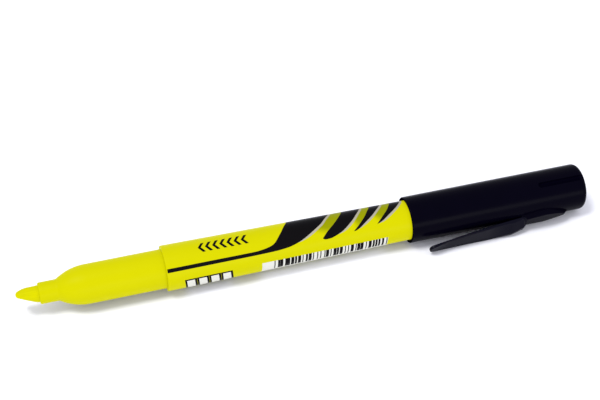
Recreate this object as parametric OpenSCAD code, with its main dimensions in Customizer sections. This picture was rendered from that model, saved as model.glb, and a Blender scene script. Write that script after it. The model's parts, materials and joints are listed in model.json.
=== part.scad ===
// Pen-style highlighter lying on a table, its cap posted on the tail.
// Millimetres. +X runs along the pen from the nib to the closed end of the cap, +Z is up.
// The origin is below the middle of the pen, on the surface that it lies on.

/* [Barrel] */
// Length of the barrel tube, front edge to rear edge
barrel_len = 84; // [70:0.5:101]
// Outside diameter of the barrel at its front edge
barrel_front_d = 10.8; // [9:0.1:13]
// Draft of the barrel, in degrees a side; it narrows towards the tail
barrel_draft = 0.6; // [0.3:0.05:0.8]
// Wall of the barrel at its rear edge
barrel_wall = 0.75; // [0.6:0.05:1]
// Wall of the barrel round the skirt of the nose section
socket_wall = 0.93; // [0.85:0.01:1.2]
// Length of the skirt that plugs into the barrel
socket_len = 12; // [8:0.5:16]
// Radius on the front edge of the barrel
barrel_edge_r = 0.15; // [0.05:0.05:0.3]

/* [Nose section] */
// Height of the barrel's front edge above the grip
step_h = 0.78; // [0.6:0.02:0.84]
// Length of the straight grip
grip_len = 17.8; // [14:0.2:22]
// Length of the rounded shoulder in front of the grip
flare_len = 6.9; // [5.6:0.1:8.4]
// Diameter of the collar that holds the nib
collar_d = 5.04; // [4.6:0.02:6.1]
// Length of the collar
collar_len = 4.3; // [3.5:0.1:5.2]
// Radius on the front edge of the collar
collar_edge_r = 0.35; // [0.1:0.05:0.4]
// Fillet where the collar meets the shoulder
collar_fillet_r = 1; // [0.5:0.1:1.4]
// Wall of the skirt
skirt_wall = 0.7; // [0.5:0.05:0.9]
// Distance from the front of the grip back to the end of the hollow
hollow_back = 0.8; // [0:0.1:2]

/* [Nib] */
// Diameter of the fibre rod
nib_d = 3.7; // [3:0.1:4.5]
// Length of nib that stands out of the collar
nib_out = 5.2; // [4.3:0.1:6.3]
// Whole length of the fibre rod
nib_len = 29; // [25:0.5:35]
// Slant of the writing face, in degrees to the rod
nib_slant = 26; // [22:1:34]
// Radius of the writing edge
nib_edge_r = 0.75; // [0.4:0.05:1]
// Radius of the easing on the side across from the writing face
nib_back_r = 6.9; // [5:0.1:9]
// Turn of the writing face about the pen, in degrees from straight down
nib_roll = 42; // [0:1:90]
// Number of air grooves along the nib's bore
groove_count = 3; // [2:1:6]
// Width and depth of an air groove
groove_w = 0.5; // [0.3:0.05:0.6]

/* [Ink reservoir] */
// Thickness of the film round the fibre reservoir
film_t = 0.1; // [0.08:0.01:0.2]
// How far the film stands past each end of the fibre
film_lip = 0.4; // [0.2:0.1:1]
// Gap in front of the reservoir
reservoir_front_gap = 0.5; // [0.3:0.1:1.5]

/* [Tail plug] */
// Thickness of the plug's head, behind the barrel
plug_head = 1; // [0.8:0.1:1.4]
// Length of the plug's skirt inside the barrel
plug_skirt_len = 6; // [4:0.5:8]
// Wall of the plug's skirt
plug_wall = 0.7; // [0.5:0.05:1]
// Thickness of the crossed ribs that steady the reservoir
plug_rib_t = 0.8; // [0.6:0.1:1.2]
// Dome radius on the plug's edge
plug_edge_r = 0.6; // [0.3:0.1:0.8]

/* [Cap] */
// Length of the cap
cap_len = 45.3; // [37.5:0.1:55]
// Wall of the cap at its mouth
cap_wall = 0.82; // [0.68:0.02:1]
// Thickness of the closed end
cap_end_wall = 1.2; // [1:0.1:1.5]
// Radius on the edge of the closed end
cap_edge_r = 1.2; // [0.6:0.1:1.4]
// Radius on the edge of the mouth
cap_lip_r = 0.25; // [0.1:0.05:0.3]
// How much the cap's bore narrows, in radius, from mouth to end
cap_draft = 0.1; // [0:0.02:0.14]
// Diameter of the air vents in the closed end
vent_d = 0.9; // [0.6:0.05:1]
// Length of the flutes that run back to the closed end
flute_len = 12.2; // [10:0.1:15]
// Width of a flute
flute_w = 1.3; // [1:0.05:1.6]
// Depth of a flute
flute_depth = 0.5; // [0.3:0.05:0.6]

/* [Cap liner] */
// Wall of the sealing cup inside the cap
liner_wall = 0.6; // [0.45:0.05:0.7]
// Room between the collar and the wall of the cup
liner_room = 0.3; // [0.2:0.05:0.5]
// How far forward of the shoulder the lip seals on the collar, when the cap is on the nose
seal_back = 1.8; // [1:0.1:2.4]
// Length of the sealing lip
seal_len = 1.5; // [1:0.1:2]
// Diameter of the spigot that holds the cup in the closed end
spigot_d = 3.2; // [2.4:0.1:3.9]
// Gap between the tail of the pen and the cup, when the cap is posted
tail_gap = 1; // [0.6:0.1:2]

/* [Pocket clip] */
// Distance from the cap's mouth to the tip of the clip
clip_tip_in = 3.6; // [2:0.1:6]
// Length of the clip, tip to heel
clip_len = 25.4; // [21:0.1:26.5]
// Distance from the tip to the widest place
clip_belly = 14.9; // [12:0.1:17.9]
// Width of the blade at its widest
clip_w = 4.5; // [3.7:0.1:5.4]
// Width of the blade at its rounded tip
clip_tip_w = 2.5; // [2:0.1:3]
// Width of the blade at its heel
clip_heel_w = 3.5; // [2.8:0.1:4.2]
// Height of the blade's face above the cap, at the tip
clip_tip_rise = 3.3; // [3:0.05:3.9]
// Height of the blade's face above the cap, at its widest
clip_belly_rise = 2.8; // [2.4:0.05:3]
// Thickness of the blade at its tip
clip_tip_t = 0.8; // [0.6:0.05:1.2]
// How far the face is bevelled down at the sides of the heel
clip_bevel = 0.5; // [0.2:0.05:0.8]
// Radius of the round heel
clip_heel_r = 1.1; // [0.9:0.05:1.3]
// Length of the ridge behind the heel
ridge_len = 11.4; // [9:0.2:11.6]
// Height of the ridge above the cap, at the heel
ridge_rise = 1.1; // [0.8:0.05:1.4]
// Height of the ridge above the cap, near its tail
ridge_tail_rise = 0.5; // [0.3:0.05:0.8]
// Width of the ridge at the heel
ridge_w = 2.6; // [2:0.1:3]
// Width of the ridge near its tail
ridge_tail_w = 1.5; // [1:0.1:1.9]

/* [Fits] */
// Gap between pieces that are pressed together, a side
press_gap = 0.02; // [0.01:0.01:0.04]
// Gap between the barrel and the cap's mouth, a side
post_gap = 0.04; // [0.02:0.01:0.08]
// Gap round the liner's spigot and behind the liner
turn_gap = 0.03; // [0.02:0.01:0.06]
// Gap between the film and the walls round it
film_gap = 0.08; // [0.05:0.01:0.15]
// Gap round the heel of the clip
heel_gap = 0.06; // [0.04:0.01:0.1]

/* [Hidden] */
$fn = 96;
arc_steps = 24;   // straight steps in a long rounded stretch
small_steps = 6;  // straight steps in a small edge radius
over = 1;         // how far a cut runs past what it cuts

// Stations are distances along the pen from the barrel's front edge, positive towards the tail.
barrel_front_r = barrel_front_d / 2;
function barrel_r(station) = barrel_front_r - station * tan(barrel_draft);
barrel_rear_r = barrel_r(barrel_len);
socket_r = barrel_front_r - socket_wall;
skirt_r = socket_r - press_gap;
grip_r = barrel_front_r - step_h;
collar_r = collar_d / 2;
chamber_r = min(skirt_r - skirt_wall, barrel_rear_r - barrel_wall);
film_r = chamber_r - film_gap;
reservoir_r = film_r - film_t;
nib_r = nib_d / 2;

shoulder_s = -grip_len;
collar_root_s = shoulder_s - flare_len;
collar_tip_s = collar_root_s - collar_len;
nib_tip_s = collar_tip_s - nib_out;
nib_rear_s = nib_tip_s + nib_len;
hollow_front_s = shoulder_s + hollow_back;
reservoir_front_s = hollow_front_s + reservoir_front_gap;
reservoir_rear_s = barrel_len - plug_skirt_len - film_lip;
tail_s = barrel_len + plug_head;

// The liner's lip lies this deep in the cap, so that it meets the collar when the cap is on the nose.
lip_depth = grip_len + flare_len + seal_back;
mouth_s = tail_s + tail_gap - lip_depth;
end_s = mouth_s + cap_len;
bore_mouth_r = max(barrel_r(mouth_s), barrel_rear_r) + post_gap;
bore_end_r = max(bore_mouth_r - cap_draft, barrel_rear_r + post_gap);
cap_r = bore_mouth_r + cap_wall;
end_inner_s = end_s - cap_end_wall;
liner_r = collar_r + liner_room + liner_wall;
seal_r = collar_r + press_gap;
liner_base_s = end_inner_s - turn_gap;
lip_s = mouth_s + lip_depth;
spigot_r = spigot_d / 2;
vent_ring_r = (liner_r + bore_end_r) / 2;

// The clip's tip, belly and heel, as stations and as distances out from the pen's axis.
clip_tip_s = mouth_s + clip_tip_in;
clip_belly_s = clip_tip_s + clip_belly;
heel_s = clip_tip_s + clip_len - clip_heel_r;
heel_axis_r = cap_r + heel_gap + clip_heel_r;
clip_tip_face_r = cap_r + clip_tip_rise;
clip_belly_face_r = cap_r + clip_belly_rise;
ridge_tail_s = heel_s + clip_heel_r + ridge_len;

// The pen lies on the cap and on one long edge of the clip, which sets the roll of the cap.
axis_z = max(cap_r, barrel_front_r);
belly_corner_r = norm([clip_belly_face_r, clip_w / 2]);
clip_roll = atan2(clip_w / 2, clip_belly_face_r) + acos(axis_z / belly_corner_r);
clip_reach = max(
    clip_belly_face_r * sin(clip_roll) + clip_w / 2 * cos(clip_roll),
    clip_tip_face_r * sin(clip_roll) + clip_tip_w / 2 * cos(clip_roll)
);
axis_y = (clip_reach - axis_z) / 2;
axis_x = -(nib_tip_s + end_s) / 2;

// Flutes and vents lie a quarter turn and a half turn from the clip.
vent_turns = [90, 180, 270];

yellow = [0.90, 0.92, 0.02];
navy_black = [0.03, 0.02, 0.07];

// Points on a circle's arc, from one angle to another.
function arc(centre, r, from, to, steps) = [
    for (i = [0:steps]) centre + r * [cos(from + (to - from) * i / steps), sin(from + (to - from) * i / steps)]
];

// Puts a piece that is drawn round the X axis into its place in the pen's frame.
module on_pen() {
    translate([axis_x, axis_y, axis_z]) children();
}

// Turns an outline, drawn as [radius, station], round the pen's axis.
module lathe() {
    rotate([0, 90, 0]) rotate_extrude() children();
}

module rod(r, from, to) {
    translate([from, 0, 0]) rotate([0, 90, 0]) cylinder(r = r, h = to - from);
}

// Side outline of the nib's front: writing face below, rounded edge, eased back above.
module nib_side() {
    ease_x = 3.2;
    edge_top = asin((ease_x - nib_edge_r) / (nib_back_r - nib_edge_r));
    edge_c = [ease_x, nib_r - nib_back_r] + (nib_back_r - nib_edge_r) * [-sin(edge_top), cos(edge_top)];
    face_start = edge_c + nib_edge_r * [-sin(nib_slant), -cos(nib_slant)];
    face_x = face_start.x + (face_start.y + nib_r + over) / tan(nib_slant);
    polygon(concat(
        arc([ease_x, nib_r - nib_back_r], nib_back_r, 90, 90 + edge_top, arc_steps),
        arc(edge_c, nib_edge_r, 90 + edge_top, 270 - nib_slant, small_steps * 2),
        [[face_x, -nib_r - over], [nib_len + over, -nib_r - over], [nib_len + over, nib_r]]
    ));
}

module nib() {
    color(yellow) on_pen() intersection() {
        rod(nib_r, nib_tip_s - over, nib_rear_s);
        rotate([90 - nib_roll, 0, 0]) translate([nib_tip_s, 0, 0])
            linear_extrude(height = nib_d + 2 * over, center = true) nib_side();
    }
}

// Outside of the nose: rounded collar, fillet, shoulder on one arc, straight grip, skirt.
module nose_outline() {
    rise = grip_r - collar_r;
    shoulder_r = (flare_len * flare_len + rise * rise) / (2 * rise);
    // the fillet touches the collar and the shoulder's arc from outside
    fillet_y = collar_r + collar_fillet_r;
    fillet_dx = sqrt(pow(shoulder_r + collar_fillet_r, 2) - pow(fillet_y - grip_r + shoulder_r, 2));
    fillet_a = atan2(fillet_dx, fillet_y - grip_r + shoulder_r);
    polygon(concat(
        [[0, collar_tip_s]],
        arc([collar_r - collar_edge_r, collar_tip_s + collar_edge_r], collar_edge_r, -90, 0, small_steps),
        arc([fillet_y, shoulder_s - fillet_dx], collar_fillet_r, 180, 180 - fillet_a, small_steps),
        arc([grip_r - shoulder_r, shoulder_s], shoulder_r, -fillet_a, 0, arc_steps),
        [[grip_r, 0], [skirt_r, 0], [skirt_r, socket_len], [0, socket_len]]
    ));
}

module nose_section() {
    color(yellow) on_pen() difference() {
        lathe() nose_outline();
        rod(nib_r + press_gap, collar_tip_s - over, hollow_front_s + over);
        rod(chamber_r, hollow_front_s, socket_len + over);
        for (i = [0:groove_count - 1])
            rotate([i * 360 / groove_count, 0, 0])
                translate([collar_tip_s + collar_len / 2, -groove_w / 2, 0])
                    cube([hollow_front_s - collar_tip_s, groove_w, nib_r + groove_w]);
    }
}

module barrel() {
    color(yellow) on_pen() lathe() difference() {
        polygon(concat(
            [[0, 0]],
            arc([barrel_front_r - barrel_edge_r, barrel_edge_r], barrel_edge_r, -90, 0, small_steps),
            [[barrel_rear_r, barrel_len], [0, barrel_len]]
        ));
        translate([-over, -over]) square([socket_r + over, socket_len + press_gap + over]);
        translate([-over, 0]) square([chamber_r + over, barrel_len + over]);
    }
}

module tail_plug() {
    plug_r = chamber_r - press_gap;
    color(yellow) on_pen() {
        lathe() difference() {
            union() {
                translate([0, barrel_len]) square([barrel_rear_r - plug_edge_r, plug_head]);
                translate([0, barrel_len]) square([barrel_rear_r, plug_head - plug_edge_r]);
                translate([barrel_rear_r - plug_edge_r, tail_s - plug_edge_r]) intersection() {
                    circle(r = plug_edge_r);
                    square(plug_edge_r);
                }
                translate([0, barrel_len - plug_skirt_len]) square([plug_r, plug_skirt_len]);
            }
            translate([-over, barrel_len - plug_skirt_len - over])
                square([plug_r - plug_wall + over, plug_skirt_len + over]);
        }
        for (turn = [0, 90])
            rotate([turn, 0, 0])
                translate([barrel_len - plug_skirt_len, -(plug_r - plug_wall / 2), -plug_rib_t / 2])
                    cube([plug_skirt_len + plug_head / 2, 2 * (plug_r - plug_wall / 2), plug_rib_t]);
    }
}

module ink_reservoir() {
    color([0.95, 0.97, 0.35]) on_pen() difference() {
        rod(reservoir_r, reservoir_front_s + film_lip, reservoir_rear_s - film_lip);
        rod(nib_r, reservoir_front_s - over, nib_rear_s);
    }
}

module reservoir_film() {
    color([0.92, 0.93, 0.85]) on_pen() difference() {
        rod(film_r, reservoir_front_s, reservoir_rear_s);
        rod(reservoir_r, reservoir_front_s - over, reservoir_rear_s + over);
    }
}

module cap_outline() {
    difference() {
        union() {
            translate([0, mouth_s + cap_lip_r]) square([cap_r, cap_len - cap_lip_r - cap_edge_r]);
            translate([0, mouth_s]) square([cap_r - cap_lip_r, cap_len]);
            translate([cap_r - cap_lip_r, mouth_s + cap_lip_r]) circle(r = cap_lip_r);
            translate([0, end_s - 2 * cap_edge_r]) square([cap_r - cap_edge_r, 2 * cap_edge_r]);
            translate([cap_r - cap_edge_r, end_s - cap_edge_r]) circle(r = cap_edge_r);
        }
        // the corner that the second square leaves outside the edge radius
        difference() {
            translate([cap_r - cap_edge_r, end_s - cap_edge_r]) square(cap_edge_r + over);
            translate([cap_r - cap_edge_r, end_s - cap_edge_r]) circle(r = cap_edge_r);
        }
        polygon([
            [-over, mouth_s - over], [bore_mouth_r, mouth_s - over], [bore_mouth_r, mouth_s],
            [bore_end_r, end_inner_s], [-over, end_inner_s]
        ]);
    }
}

// A side outline, drawn as [station, distance from the axis], cut to a width outline and rolled into place.
module clip_solid(height) {
    rotate([-clip_roll, 0, 0]) intersection() {
        rotate([-90, 0, 0]) linear_extrude(height = clip_w + 2 * over, center = true) children(0);
        translate([0, 0, -height]) linear_extrude(height = height) children(1);
    }
}

module heel_cut() {
    rotate([-clip_roll, 0, 0]) translate([heel_s, 0, -heel_axis_r])
        rotate([90, 0, 0]) cylinder(r = clip_heel_r + heel_gap, h = clip_w + 2 * over, center = true);
}

module ridge_side() {
    ridge_foot_r = cap_r - cap_wall / 2;
    tail_slope = ridge_tail_rise;
    polygon([
        [heel_s, ridge_foot_r], [heel_s, cap_r + ridge_rise],
        [ridge_tail_s - tail_slope * 3, cap_r + ridge_tail_rise], [ridge_tail_s, ridge_foot_r]
    ]);
}

module ridge_plan() {
    polygon([
        [heel_s, -ridge_w / 2], [ridge_tail_s - ridge_tail_w, -ridge_tail_w / 2], [ridge_tail_s + over, -0.2],
        [ridge_tail_s + over, 0.2], [ridge_tail_s - ridge_tail_w, ridge_tail_w / 2], [heel_s, ridge_w / 2]
    ]);
}

// A straight groove with a round front end, cut into the outside of the cap.
module flute() {
    floor_z = -(cap_r - flute_depth);
    front_s = end_s - flute_len + flute_w / 2;
    translate([front_s, -flute_w / 2, floor_z - over - flute_depth])
        cube([flute_len, flute_w, over + flute_depth]);
    translate([front_s, 0, floor_z - over - flute_depth]) cylinder(r = flute_w / 2, h = over + flute_depth);
}

module cap_shell() {
    color(navy_black) on_pen() difference() {
        union() {
            lathe() cap_outline();
            clip_solid(cap_r + clip_tip_rise) {
                ridge_side();
                ridge_plan();
            }
        }
        rod(spigot_r + turn_gap, end_inner_s - over, end_s + over);
        heel_cut();
        for (turn = vent_turns)
            rotate([turn - clip_roll, 0, 0]) {
                translate([0, 0, -vent_ring_r]) rod(vent_d / 2, end_inner_s - over, end_s + over);
                flute();
            }
    }
}

module cap_liner() {
    color([0.10, 0.10, 0.13]) on_pen() difference() {
        union() {
            rod(liner_r, lip_s, liner_base_s);
            rod(spigot_r, liner_base_s - liner_wall, end_s - turn_gap);
        }
        rod(seal_r, lip_s - over, lip_s + seal_len + over);
        rod(collar_r + liner_room, lip_s + seal_len, liner_base_s - liner_wall);
    }
}

// Side of the clip: rounded tip, face rising to the belly and falling to the round heel, underside.
module clip_side() {
    tip_r = clip_tip_t / 2;
    polygon(concat(
        [[clip_belly_s, clip_belly_face_r]],
        arc([heel_s, heel_axis_r], clip_heel_r, 90, -90, arc_steps),
        arc([clip_tip_s + tip_r, clip_tip_face_r - tip_r], tip_r, 270, 90, small_steps)
    ));
}

// Width of the clip: round tip, widest at the belly, straight across the heel.
module clip_plan() {
    tip_r = clip_tip_w / 2;
    past_heel_s = heel_s + clip_heel_r + over;
    polygon(concat(
        [
            [clip_belly_s, -clip_w / 2], [heel_s, -clip_heel_w / 2], [past_heel_s, -clip_heel_w / 2],
            [past_heel_s, clip_heel_w / 2], [heel_s, clip_heel_w / 2], [clip_belly_s, clip_w / 2]
        ],
        arc([clip_tip_s + tip_r, 0], tip_r, 90, 270, small_steps * 2)
    ));
}

// Everything on the far side of the plane through three points, as a slab.
module slab_beyond(a, b, c, size) {
    along = (b - a) / norm(b - a);
    out = cross(b - a, c - a) / norm(cross(b - a, c - a));
    across = cross(out, along);
    multmatrix([
        [along.x, across.x, out.x, a.x], [along.y, across.y, out.y, a.y], [along.z, across.z, out.z, a.z]
    ]) translate([-size, -size, 0]) cube([2 * size, 2 * size, size]);
}

// One of the two bevels that narrow the clip's face to a point at the heel.
module heel_bevel() {
    face_z = -(heel_axis_r + clip_heel_r);
    slab_beyond(
        [clip_belly_s, clip_w / 2, -clip_belly_face_r],
        [heel_s, clip_heel_w / 2, face_z + clip_bevel],
        [heel_s, 0, face_z],
        clip_len
    );
}

module pocket_clip() {
    color(navy_black) on_pen() difference() {
        clip_solid(cap_r + clip_tip_rise + over) {
            clip_side();
            clip_plan();
        }
        rotate([-clip_roll, 0, 0]) {
            heel_bevel();
            mirror([0, 1, 0]) heel_bevel();
        }
    }
}

nib();
nose_section();
barrel();
tail_plug();
ink_reservoir();
reservoir_film();
cap_shell();
cap_liner();
pocket_clip();
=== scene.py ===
"""Pen-style highlighter with its cap posted on the tail, lying on a pale floor.

Every size is in metres. A station is a distance along the pen from the front edge of the
barrel, positive towards the tail. A turn is an angle about the pen, zero straight up and
positive towards the side that the pocket clip points to.
"""

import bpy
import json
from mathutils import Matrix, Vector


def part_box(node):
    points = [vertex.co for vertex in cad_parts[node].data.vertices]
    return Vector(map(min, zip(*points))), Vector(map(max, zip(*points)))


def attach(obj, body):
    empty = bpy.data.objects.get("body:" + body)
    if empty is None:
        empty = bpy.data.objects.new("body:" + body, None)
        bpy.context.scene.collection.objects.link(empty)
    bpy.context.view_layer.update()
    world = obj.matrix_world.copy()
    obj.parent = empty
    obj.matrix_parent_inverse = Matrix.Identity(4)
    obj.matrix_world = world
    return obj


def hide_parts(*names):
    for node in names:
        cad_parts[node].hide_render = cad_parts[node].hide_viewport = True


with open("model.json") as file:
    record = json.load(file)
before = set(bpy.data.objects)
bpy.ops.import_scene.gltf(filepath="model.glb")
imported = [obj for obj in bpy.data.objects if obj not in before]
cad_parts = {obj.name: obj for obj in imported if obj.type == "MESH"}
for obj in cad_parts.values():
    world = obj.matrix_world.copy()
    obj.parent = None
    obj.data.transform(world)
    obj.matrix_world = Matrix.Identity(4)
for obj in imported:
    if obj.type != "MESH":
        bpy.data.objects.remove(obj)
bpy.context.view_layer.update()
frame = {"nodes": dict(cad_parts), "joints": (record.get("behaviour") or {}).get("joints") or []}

import json
import math

import bmesh
import bpy
from bpy.props import FloatProperty, FloatVectorProperty, IntProperty, PointerProperty
from mathutils import Vector

bl_info = {
    "name": "Pen highlighter",
    "version": (1, 0, 0),
    "blender": (4, 5, 0),
    "location": "View3D > Sidebar > Highlighter",
    "description": "Builds a highlighter pen with nib, printed barrel, posted cap and clip",
    "category": "Add Mesh",
}

MM = 0.001

# ---------------------------------------------------------------- places from the frame
NIB_LO, NIB_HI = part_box("nib")
NOSE_LO, NOSE_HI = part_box("nose_section")
BARREL_LO, BARREL_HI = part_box("barrel")
PLUG_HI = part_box("tail_plug")[1]
CAP_LO, CAP_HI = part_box("cap_shell")
LINER_LO, LINER_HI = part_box("cap_liner")
CLIP_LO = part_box("pocket_clip")[0]
JOINTS = {joint["name"]: joint for joint in frame["joints"]}

TURN_POINT = Vector(JOINTS["cap_turn"]["pos_m"])
AXIS = Vector((BARREL_LO.x, TURN_POINT.y, TURN_POINT.z))
BARREL_FRONT_R = (BARREL_HI.y - BARREL_LO.y) / 2
BARREL_LEN = BARREL_HI.x - BARREL_LO.x
CAP_R = TURN_POINT.z - CAP_LO.z
CAP_MOUTH = CAP_LO.x - AXIS.x
CAP_END = CAP_HI.x - AXIS.x
TAIL = PLUG_HI.x - AXIS.x
NIB_TIP = NIB_LO.x - AXIS.x
NIB_REAR = NIB_HI.x - AXIS.x
COLLAR_TIP = NOSE_LO.x - AXIS.x
SKIRT_END = NOSE_HI.x - AXIS.x
LINER_LIP = LINER_LO.x - AXIS.x
LINER_END = LINER_HI.x - AXIS.x
CLIP_TIP = CLIP_LO.x - AXIS.x
HEEL_POINT = Vector(JOINTS["clip_flex"]["pos_m"])
HEEL = HEEL_POINT.x - AXIS.x
CLIP_SIDE = Vector(JOINTS["clip_flex"]["axis"]).normalized()
CLIP_OUT = Vector((1, 0, 0)).cross(CLIP_SIDE)
CLIP_TURN = math.atan2(-CLIP_OUT.y, CLIP_OUT.z)
HEEL_OUT = (HEEL_POINT - AXIS).dot(CLIP_OUT)


def on_pen(station, radius, turn):
    """Point at a station, a distance from the pen's axis and a turn about it."""
    return Vector((
        AXIS.x + station,
        AXIS.y - radius * math.sin(turn),
        AXIS.z + radius * math.cos(turn),
    ))


# ---------------------------------------------------------------- sizes and colours
def length(name, description, millimetres):
    """A length property with its default given in millimetres."""
    return FloatProperty(
        name=name, description=description, default=millimetres * MM,
        min=0, soft_max=0.2, precision=5, subtype="DISTANCE", unit="LENGTH",
    )


def angle(name, description, degrees):
    """An angle property with its default given in degrees."""
    return FloatProperty(
        name=name, description=description, default=math.radians(degrees),
        subtype="ANGLE", unit="ROTATION",
    )


def colour(name, description, red, green, blue):
    """A colour property."""
    return FloatVectorProperty(
        name=name, description=description, default=(red, green, blue),
        size=3, min=0, max=1, subtype="COLOR",
    )


class PenSizes(bpy.types.PropertyGroup):
    """Sizes of the pen that the frame's boxes don't give."""

    draft: angle("Barrel draft", "Angle a side by which the barrel narrows to the tail", 0.6)
    barrel_edge: length("Barrel edge", "Radius on the barrel's front edge", 0.25)
    socket_r: length("Socket radius", "Inside of the barrel round the nose's skirt", 4.47)
    chamber_r: length("Chamber radius", "Inside of the barrel round the reservoir", 3.77)
    skirt_r: length("Skirt radius", "Outside of the nose's skirt", 4.45)
    grip_r: length("Grip radius", "Outside of the straight grip", 4.62)
    grip_len: length("Grip length", "Length of the straight grip", 17.8)
    flare_len: length("Shoulder length", "Length of the rounded shoulder", 6.9)
    collar_r: length("Collar radius", "Outside of the collar that holds the nib", 2.52)
    collar_edge: length("Collar edge", "Radius on the collar's front edge", 0.35)
    collar_fillet: length("Collar fillet", "Fillet between collar and shoulder", 1.0)
    hollow_back: length("Hollow set-back", "From the grip's front back to the hollow", 0.8)
    nib_r: length("Nib radius", "Radius of the fibre rod", 1.98)
    nib_slant: angle("Nib slant", "Slant of the writing face to the rod", 24)
    nib_edge: length("Nib edge", "Radius of the writing edge", 0.8)
    nib_back: length("Nib back", "Radius of the easing across from the writing face", 6.0)
    nib_ease: length("Nib easing", "Length of the easing on the nib's back", 3.2)
    nib_turn: angle("Nib turn", "Turn of the writing face about the pen", 138)
    plug_edge: length("Plug edge", "Dome radius on the tail plug's edge", 0.6)
    plug_skirt: length("Plug skirt", "Length of the plug's skirt in the barrel", 6.0)
    plug_wall: length("Plug wall", "Wall of the plug's skirt", 0.7)
    cap_wall: length("Cap wall", "Wall of the cap at its mouth", 0.82)
    cap_end_wall: length("Cap end wall", "Thickness of the closed end", 1.2)
    cap_edge: length("Cap end edge", "Radius on the edge of the closed end", 1.2)
    cap_lip: length("Cap lip", "Radius on the edge of the mouth", 0.25)
    cap_draft: length("Bore draft", "How much the cap's bore narrows", 0.1)
    flute_len: length("Flute length", "Length of a flute, back from the closed end", 12.2)
    flute_w: length("Flute width", "Width of a flute", 1.3)
    flute_depth: length("Flute depth", "Depth of a flute", 0.5)
    vent_d: length("Vent diameter", "Diameter of an air vent", 0.9)
    vent_ring: length("Vent ring", "Distance of the vents from the pen's axis", 4.07)
    vent_count: IntProperty(
        name="Vents", description="Number of vents and flutes", default=3, min=1, max=3)
    liner_r: length("Liner radius", "Outside of the sealing cup", 3.42)
    liner_wall: length("Liner wall", "Wall of the sealing cup", 0.6)
    seal_r: length("Seal radius", "Inside of the sealing lip", 2.54)
    seal_len: length("Seal length", "Length of the sealing lip", 1.5)
    spigot_r: length("Spigot radius", "Spigot of the cup in the closed end", 1.6)
    clip_belly: length("Clip belly", "From the clip's tip to its widest place", 14.9)
    clip_w: length("Clip width", "Width of the blade at its widest", 4.5)
    clip_tip_w: length("Clip tip width", "Width of the blade at its round tip", 2.5)
    clip_heel_w: length("Clip heel width", "Width of the blade at its heel", 3.5)
    clip_tip_rise: length("Clip tip rise", "Height of the face over the cap, at the tip", 3.27)
    clip_belly_rise: length("Clip belly rise", "Height of the face, at the widest", 2.8)
    clip_tip_t: length("Clip tip thickness", "Thickness of the blade at its tip", 0.8)
    clip_slant: angle("Clip slant", "Fall of the blade's face to its upper side", 13)
    clip_twist: angle("Clip twist", "How much steeper that fall gets at the heel", 27)
    clip_edge: length("Clip edge", "Radius on the blade's long edges", 0.22)
    heel_r: length("Heel radius", "Radius of the clip's round heel", 1.1)
    ridge_len: length("Ridge length", "Length of the ridge behind the heel", 11.4)
    ridge_rise: length("Ridge rise", "Height of the ridge at the heel", 1.1)
    ridge_tail_rise: length("Ridge tail rise", "Height of the ridge near its tail", 0.85)
    ridge_w: length("Ridge width", "Width of the ridge at its widest", 4.6)
    ink_t: length("Ink height", "How far the printed ink stands proud", 0.02)


class PenColours(bpy.types.PropertyGroup):
    """Colours of the pen's plastics, fibre and inks."""

    body: colour("Body", "Yellow of barrel, nose and tail", 0.26, 0.25, 0.0)
    # Painted glow: an emission colour that only the camera sees. It stands in for the
    # fluorescence and evens out the yellow's shading.
    painted_glow: colour("Glow", "Fluorescence of the yellow plastic and the ink", 0.72, 0.70, 0.0)
    nib: colour("Nib", "Fibre soaked with ink", 0.27, 0.255, 0.0)
    fibre: colour("Reservoir", "Fibre of the reservoir", 0.86, 0.90, 0.20)
    film: colour("Film", "Film round the reservoir", 0.88, 0.90, 0.72)
    cap: colour("Cap", "Navy black of cap and clip", 0.0009, 0.0006, 0.0034)
    # Painted highlight: a lighter, bluer navy than the cap's, so the clip's face reads lit
    clip: colour("Clip", "Navy black of the clip", 0.0016, 0.0014, 0.0055)
    liner: colour("Liner", "Black of the sealing cup", 0.012, 0.011, 0.022)
    black: colour("Black ink", "Printed black", 0.0035, 0.003, 0.0035)
    silver: colour("Silver ink", "Printed silver grey", 0.33, 0.305, 0.22)
    olive: colour("Olive ink", "Printed shade between the leaves", 0.23, 0.245, 0.0)
    white: colour("White ink", "Printed white", 0.58, 0.58, 0.52)
    floor: colour("Floor", "Pale floor", 0.92, 0.92, 0.93)


# ---------------------------------------------------------------- node helpers
GEOMETRY = "NodeSocketGeometry"
FLOAT = "NodeSocketFloat"
WHOLE = "NodeSocketInt"
VECTOR = "NodeSocketVector"
MATERIAL = "NodeSocketMaterial"
COLOUR = "NodeSocketColor"


def node(tree, kind, values=None, **settings):
    """Adds a node; values are numbers or sockets for its inputs, by name or index."""
    made = tree.nodes.new(kind)
    made.location = (220 * (len(tree.nodes) % 12), -260 * (len(tree.nodes) // 12))
    for key, value in settings.items():
        setattr(made, key, value)
    for key, value in (values or {}).items():
        if isinstance(value, bpy.types.NodeSocket):
            tree.links.new(value, made.inputs[key])
        else:
            made.inputs[key].default_value = value
    return made


def maths(tree, operation, first, second=0.0):
    """A math node's result."""
    return node(tree, "ShaderNodeMath", {0: first, 1: second}, operation=operation).outputs[0]


def joined(tree, x=0.0, y=0.0, z=0.0):
    """A vector made of three numbers or sockets."""
    return node(tree, "ShaderNodeCombineXYZ", {"X": x, "Y": y, "Z": z}).outputs[0]


def added(tree, first, second):
    """The sum of two vectors."""
    return node(tree, "ShaderNodeVectorMath", {0: first, 1: second},
                operation="ADD").outputs[0]


def round_axis(tree, radius, turn, station=0.0):
    """A point at a station, a radius and a turn about the axis, as on_pen gives it."""
    side = maths(tree, "MULTIPLY", radius, maths(tree, "SINE", turn))
    rise = maths(tree, "MULTIPLY", radius, maths(tree, "COSINE", turn))
    return joined(tree, station, maths(tree, "MULTIPLY", side, -1.0), rise)


def own_place(tree):
    """The X, Y and Z of each point's own place."""
    position = node(tree, "GeometryNodeInputPosition").outputs[0]
    return node(tree, "ShaderNodeSeparateXYZ", {0: position}).outputs


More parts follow.
